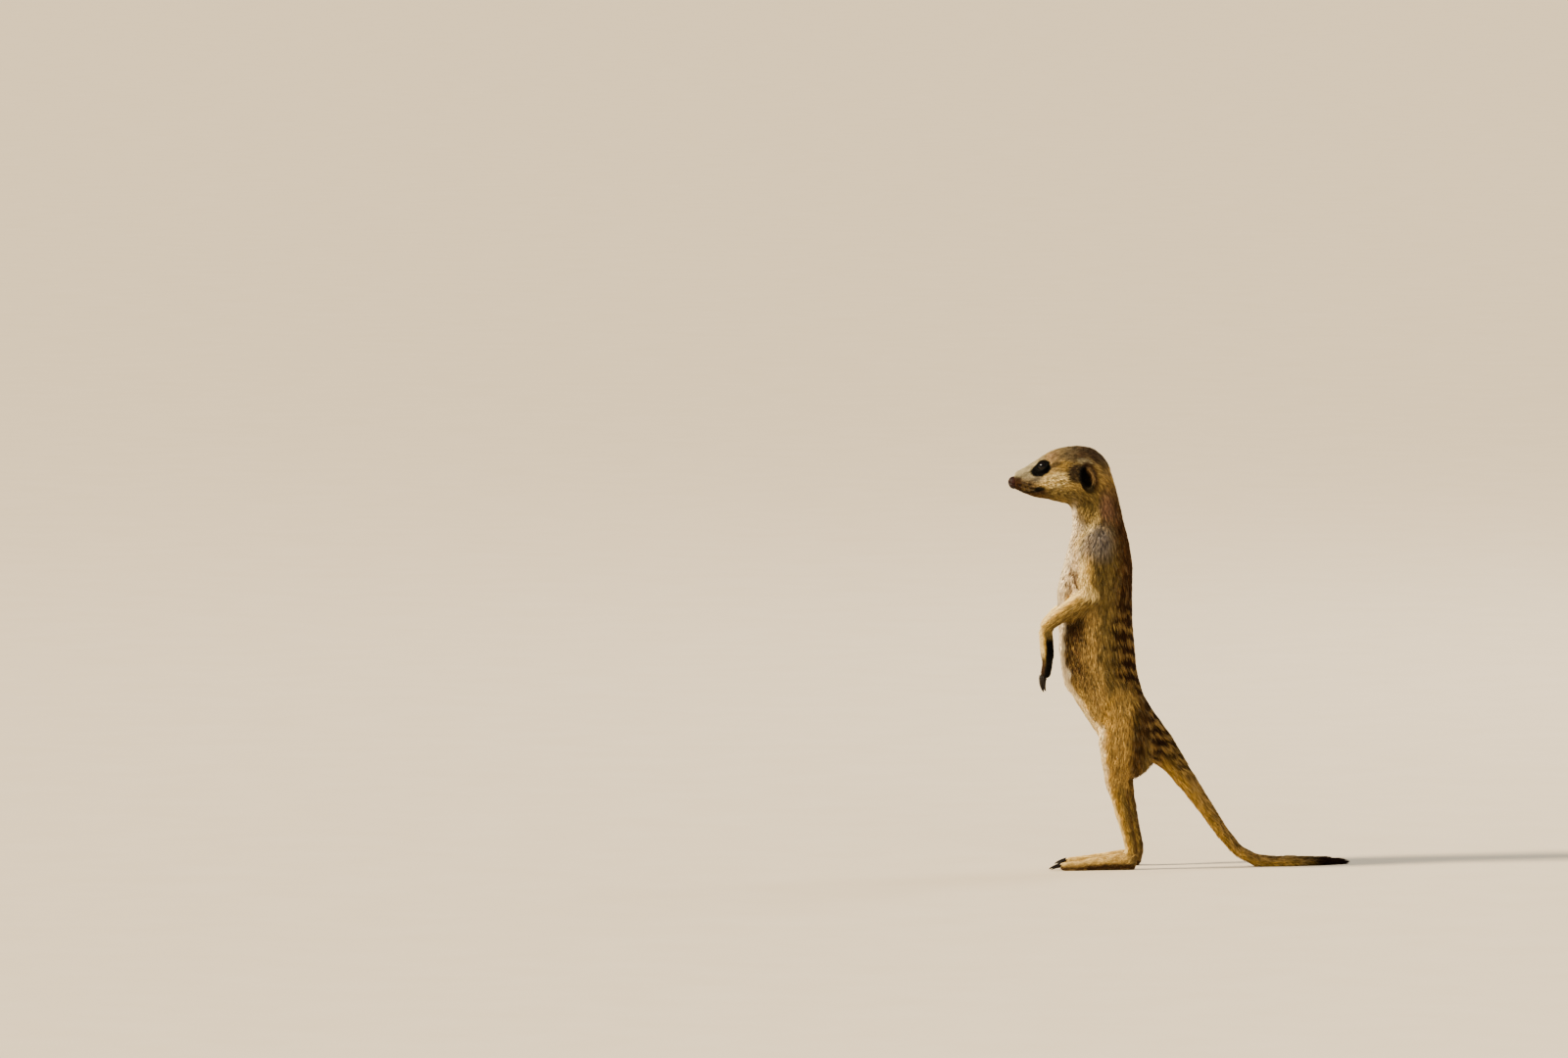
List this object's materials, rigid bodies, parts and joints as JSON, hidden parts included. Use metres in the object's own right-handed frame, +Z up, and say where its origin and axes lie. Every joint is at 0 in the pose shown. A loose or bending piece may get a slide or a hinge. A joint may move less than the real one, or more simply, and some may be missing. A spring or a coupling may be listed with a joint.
{
  "type": "standing meerkat model",
  "caption": "Life-size still meerkat standing upright on its hind feet and tail, with its forepaws hanging before its belly.",
  "frame": {"origin": "middle of the bounding box, on the floor", "axes": "+Z up; +X from the nose to the tail; +Y to the animal's right side"},
  "size_m": [0.2554, 0.0656, 0.316],
  "materials": {
    "coat": "matte grizzled fur",
    "face_coat": "matte short fur",
    "dark_coat": "matte black-brown fur",
    "nose_leather": "moist grained skin",
    "claw_horn": "semi-gloss horn",
    "eye": "wet gloss"
  },
  "bodies": {
    "root": {"head": "face_coat", "lower_jaw": "face_coat", "nose": "nose_leather", "eye_left": "eye", "ear_left": "dark_coat", "eye_right": "eye", "ear_right": "dark_coat", "trunk": "coat", "neck": "coat", "tail_base": "coat", "tail_middle": "coat", "tail_tip": "dark_coat", "upper_arm_left": "coat", "forearm_left": "coat", "hand_left": "coat", "claw_front_left_1": "claw_horn", "claw_front_left_2": "claw_horn", "claw_front_left_3": "claw_horn", "claw_front_left_4": "claw_horn", "thigh_left": "coat", "shank_left": "coat", "foot_left": "coat", "claw_hind_left_1": "claw_horn", "claw_hind_left_2": "claw_horn", "claw_hind_left_3": "claw_horn", "claw_hind_left_4": "claw_horn", "upper_arm_right": "coat", "forearm_right": "coat", "hand_right": "coat", "claw_front_right_1": "claw_horn", "claw_front_right_2": "claw_horn", "claw_front_right_3": "claw_horn", "claw_front_right_4": "claw_horn", "thigh_right": "coat", "shank_right": "coat", "foot_right": "coat", "claw_hind_right_1": "claw_horn", "claw_hind_right_2": "claw_horn", "claw_hind_right_3": "claw_horn", "claw_hind_right_4": "claw_horn"}
  },
  "joints": []
}
